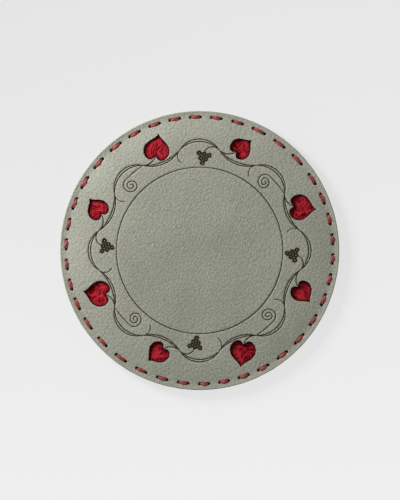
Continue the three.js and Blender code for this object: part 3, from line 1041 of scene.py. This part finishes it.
# Edge stitching
# One length of waxed three-ply thread, dull red, sewn in a running stitch through both layers. It is
# pulled flat and plump on the face, slants through the holes and lies back in the groove, where its two
# ends are heat-sealed.
BACK_FULLNESS = 0.5  # of the thread in the groove
BACK_LEVEL = thread_low[2] + NECK_RADIUS + BACK_FULLNESS * (THREAD_HALF_HEIGHT - NECK_RADIUS)
ARCH_POINTS = 25
BEND_POINTS = 9
DROP_POINTS = 6
BACK_POINTS = 7
END_SHARE = 0.025  # of the pitch, by which each end stops short
END_PINCH = 0.7  # of its size, where an end is sealed
PLUMPNESS = 0.08  # share by which stitches are more or less full
SIDE_BOW = 0.07  # at most, in the middle of a stitch
THREAD_SEED = 8
THREAD_SIDES = 18
THREAD_LAY = 3.6  # along the thread from one ply to the next
PLIES = 3
PLY_RELIEF = 0.26  # share by which the section is less in the furrows
PLY_STRANDS = 8  # in each ply
THREAD_DEEP = srgb(92, 6, 7)
THREAD_PALE = srgb(182, 55, 51)
THREAD_FIBRE_SCALE = 3200
THREAD_WEAR_SCALE = 260
THREAD_BUMP = 0.00005
THREAD_SHEEN = 0.5


def stitch_path():
    """One pitch of the thread, from the middle of one back run to the next, as distance along the row,
    height, slope and flatness: a low arch on the face, a bend down, a slanting drop, a bend back and a
    straight run in the groove. The bends are circular. The thread is flat on the runs and round in the
    holes."""
    inner, outer, r = HOLE_ALONG - HOLE_LEAN, HOLE_ALONG + HOLE_LEAN, BEND_RADIUS
    lean = np.linspace(-ARCH_TURN, ARCH_TURN, ARCH_POINTS)
    front = ARCH_RADIUS * np.sin(lean)
    arch = FRONT_LEVEL - arch_drop(np.abs(front))
    up_run = np.column_stack([front, arch, -lean, np.ones(ARCH_POINTS)])
    bend = np.linspace(ARCH_TURN, np.pi / 2, BEND_POINTS)
    fall = arch[-1] - r * (np.cos(ARCH_TURN) - np.cos(bend))
    rounding = (np.pi / 2 - bend) / (np.pi / 2 - ARCH_TURN)
    to_down = np.column_stack([inner - r + r * np.sin(bend), fall, -bend, rounding])
    slant, upright = np.linspace(inner, outer, DROP_POINTS), np.full(DROP_POINTS, -np.pi / 2)
    drop = np.linspace(fall[-1], BACK_LEVEL + r, DROP_POINTS)
    down = np.column_stack([slant, drop, upright, np.zeros(DROP_POINTS)])
    bend = np.linspace(0, np.pi / 2, BEND_POINTS)
    out, rise = outer + r - r * np.cos(bend), BACK_LEVEL + r - r * np.sin(bend)
    to_back = np.column_stack([out, rise, bend - np.pi / 2, bend / (np.pi / 2)])
    back, level = np.linspace(outer + r, ROW_PITCH / 2, BACK_POINTS), np.full(BACK_POINTS, BACK_LEVEL)
    back_run = np.column_stack([back, level, np.zeros(BACK_POINTS), np.ones(BACK_POINTS)])
    half = np.concatenate([to_down[1:], down[1:], to_back[1:], back_run[1:]])
    mirrored = half[::-1] * [-1, 1, -1, 1]
    return np.concatenate([mirrored[1:], up_run, half])


def thread_mesh():
    """The thread: a lobed section, one lobe for each ply, turning with the lay and carried along every
    stitch of the row in turn. Each stitch swells to its middle, by its own amount, and bows a little to
    one side. The phase of a ply is marked on the corners of faces, so that it runs on where the section
    closes."""
    path = stitch_path()
    along, level, slope, flat = np.tile(path, (STITCHES, 1)).T
    rng = np.random.default_rng(THREAD_SEED)
    plump, bow = (np.repeat(rng.uniform(-1, 1, STITCHES), len(path)) for _ in range(2))
    place = np.repeat(np.arange(STITCHES), len(path)) + along / ROW_PITCH
    place[0] += END_SHARE
    place[-1] -= END_SHARE
    outward = turn(row_angle(place))
    forward = np.diff(place, prepend=place[0]) * ROW_PITCH
    travelled = np.cumsum(np.hypot(forward, np.diff(level, prepend=level[0])))

    middle = stitch_fullness(along)
    fullness = np.where(level > JOIN_HEIGHT, middle * (1 + PLUMPNESS * plump), BACK_FULLNESS) * flat
    half_width, half_height = stitch_halves(fullness)
    half_width[[0, -1]] *= END_PINCH
    half_height[[0, -1]] *= END_PINCH

    around = np.arange(THREAD_SIDES) / THREAD_SIDES * FULL_TURN - np.pi / 2
    phase = PLIES * around - travelled[:, None] / THREAD_LAY * FULL_TURN
    ply = np.cos(phase)
    lobe = 1 - PLY_RELIEF * (1 - ply) / 2
    across = half_width[:, None] * lobe * np.cos(around)
    lift = half_height[:, None] * lobe * np.sin(around)
    row_offset = ROW_RADIUS + SIDE_BOW * bow * middle**2
    plan = outward[:, None] * (row_offset[:, None] + across - 1j * lift * np.sin(slope)[:, None])
    height = level[:, None] + lift * np.cos(slope)[:, None]
    points = np.column_stack([plan.real.ravel(), plan.imag.ravel(), height.ravel()])
    rings = np.arange(len(points)).reshape(-1, THREAD_SIDES)
    faces = [band(ring, next_ring) for ring, next_ring in zip(rings, rings[1:])]
    fan = np.arange(1, THREAD_SIDES - 1)
    faces.append(np.column_stack([np.zeros_like(fan), fan, fan + 1]))
    faces.append(rings[-1][np.column_stack([np.zeros_like(fan), fan + 1, fan])])
    faces = np.concatenate(faces)
    turned = phase.ravel()[faces]
    behind = turned.max(axis=1, keepdims=True) - turned > PLIES * np.pi
    turned = np.where(behind, turned + PLIES * FULL_TURN, turned)
    return points, faces, {"ply": (0.5 + 0.5 * ply).ravel(), "phase": turned}


def waxed_thread():
    """Dull red thread: darker in the furrows between its plies as painted shade, with fine fibres,
    worn patches and a waxy sheen."""
    finish, shader, place = new_finish("waxed_red_thread")
    ply = place.mark("ply")
    strand = place.math("SINE", PLY_STRANDS * place.mark("phase"), 0)
    fibre = place.noise(THREAD_FIBRE_SCALE, 3)
    worn = place.noise(THREAD_WEAR_SCALE, 2)
    # Deep red in the furrows between the plies is painted shade; fibre and worn patches vary the tone at
    # random.
    tint = (0.6 * ply + 0.1 * strand + 0.5 * (fibre - 0.5) + 0.5 * (worn - 0.5) + 0.2).clamped()
    tint.blend(THREAD_DEEP, THREAD_PALE).feed(shader, "Base Color")
    (0.46 + 0.2 * (fibre - 0.5) - 0.08 * ply).feed(shader, "Roughness")
    (fibre + 0.5 * strand).bump(0.6, THREAD_BUMP).feed(shader, "Normal")
    shader.inputs["Specular IOR Level"].default_value = THREAD_SHEEN
    return finish


stitching = new_piece("edge_thread", *thread_mesh(), waxed_thread())
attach(stitching, "root")
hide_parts("edge_stitching")

# Light
# A soft box to the left of the picture and above it, low over the face, and a dim room with pale walls
# all round. The walls stand for most of the room's light, so it comes in low and leaves the windows and
# holes dark. Sizes of the studio are in metres.
KEY_PLACE = Vector((-0.251, 0.187, 0.18))
KEY_SIZE = 0.13
KEY_POWER = 1.67
ROOM_LIGHT = 0.275
ROOM_PALE = 0.805  # its tone where it is looked at
WALL_SHARE = 0.6  # of the room's light that comes from its walls
HORIZON = 0.01  # rise over which the room's light sets in

# Walls of this strength, times the cube of one less the rise, light a level surface as an even room
# of strength 1 does
WALL_GAIN = 10

key = bpy.data.objects.new("key_light", bpy.data.lights.new("key_light", "AREA"))
key.data.energy = KEY_POWER
key.data.size = KEY_SIZE
key.location = KEY_PLACE
key.rotation_euler = (-KEY_PLACE).to_track_quat("-Z", "Y").to_euler()
bpy.context.scene.collection.objects.link(key)


def looked_at(tone):
    """1 for a ray that looks, from the camera, off a glossy surface or through a clear one, and 0 for
    one that lights: the sum of the three, held from 0 to 1."""
    rays = ("Is Camera Ray", "Is Glossy Ray", "Is Transmission Ray")
    camera, glossy, clear = (tone.node("LightPath", {}, {}, ray) for ray in rays)
    return (camera + glossy + clear).clamped()


room = bpy.data.worlds.new("room")
room.use_nodes = True
room_shader = room.node_tree.nodes["Background"]
room_way = Tone(room_shader.outputs["Background"]).node("TexCoord", {}, {}, "Generated")
rise = room_way.node("SeparateXYZ", {}, {0: room_way}, "Z")
above = (rise * (1 / HORIZON)).clamped()
low = 1 - rise
room_light = ROOM_LIGHT * above * (1 - WALL_SHARE + WALL_SHARE * WALL_GAIN * (low * low * low))
(room_light + looked_at(room_way) * (ROOM_PALE - room_light)).feed(room_shader, "Strength")
room_shader.inputs["Color"].default_value = (1, 1, 1, 1)
bpy.context.scene.world = room
bpy.context.scene.view_settings.view_transform = "Standard"

# Floor
# A wide matt surface for the coaster to lie on. What the low light leaves short of an even pale tone is
# made up where the floor is looked at, without lighting anything, so that it looks evenly lit and still
# takes the coaster's shadow.
FLOOR_HALF = 1.6
FLOOR_GREY = 0.17  # its own colour, on which light and shadow show
FLOOR_TONE = 0.832  # level with the coaster's middle, where it is looked at
FLOOR_TONE_FALL = 0.35  # for each metre up the picture
FLOOR_TONE_REACH = 0.1  # each way, over which the tone changes
COVER_EDGE = 0.5  # millimetres under the rim, over which the making up sets in

# What the soft box gives the floor at the origin: its power over pi squared and the square of its
# distance, times the cosine at which the light falls
KEY_LIGHT = KEY_POWER * KEY_PLACE.z / (np.pi**2 * KEY_PLACE.length**3)

floor_mesh = bpy.data.meshes.new("floor")
corners = [(x * FLOOR_HALF, y * FLOOR_HALF, 0) for x, y in ((-1, -1), (1, -1), (1, 1), (-1, 1))]
floor_mesh.from_pydata(corners, [], [(0, 1, 2, 3)])
floor_finish, floor_shader, floor_place = new_finish("pale_floor")
to_key = floor_place.node("VectorMath", {"operation": "SUBTRACT"}, {0: KEY_PLACE, 1: floor_place})
reach = to_key.node("VectorMath", {"operation": "LENGTH"}, {0: to_key}, "Value")
key_way = {0: to_key, 1: KEY_PLACE.normalized()}
facing = to_key.node("VectorMath", {"operation": "DOT_PRODUCT"}, key_way, "Value")
key_share = facing / (reach * reach * reach * reach) * KEY_PLACE.length**3
lit = ROOM_LIGHT + KEY_LIGHT * key_share
out = floor_place.node("VectorMath", {"operation": "LENGTH"}, {0: floor_place}, "Value")
uncovered = ((out / MM - RIM_RADIUS) * (1 / COVER_EDGE) + 1).clamped()
up = floor_place.node("SeparateXYZ", {}, {0: floor_place}, "Y")
near = up.node("Clamp", {}, {"Value": up, "Min": -FLOOR_TONE_REACH, "Max": FLOOR_TONE_REACH})
tone = FLOOR_TONE - FLOOR_TONE_FALL * near
made_up = looked_at(floor_place) * uncovered * (tone - FLOOR_GREY * lit)
made_up.feed(floor_shader, "Emission Color")
floor_shader.inputs["Emission Strength"].default_value = 1
floor_shader.inputs["Base Color"].default_value = (FLOOR_GREY, FLOOR_GREY, FLOOR_GREY, 1)
floor_shader.inputs["Roughness"].default_value = 1
floor_shader.inputs["Specular IOR Level"].default_value = 0
floor_mesh.materials.append(floor_finish)
floor = bpy.data.objects.new("floor", floor_mesh)
bpy.context.scene.collection.objects.link(floor)

# Camera
# It looks straight down on the face from a metre away, with the middle of the face in mid-picture but
# for a fraction of a millimetre. The length of its lens follows from the width of the view.
CAMERA_DISTANCE = 1.0
CAMERA_ASIDE = 0.00011
CAMERA_RISE = 0.00018
VIEW_WIDTH = 0.14346  # at half the coaster's height
SENSOR_WIDTH = 36

camera = bpy.data.objects.new("camera", bpy.data.cameras.new("camera"))
camera.data.sensor_fit = "HORIZONTAL"
camera.data.sensor_width = SENSOR_WIDTH
camera.data.lens = SENSOR_WIDTH * CAMERA_DISTANCE / VIEW_WIDTH
camera.location = (CAMERA_ASIDE, CAMERA_RISE, FACE_TOP * MM / 2 + CAMERA_DISTANCE)
bpy.context.scene.collection.objects.link(camera)
bpy.context.scene.camera = camera
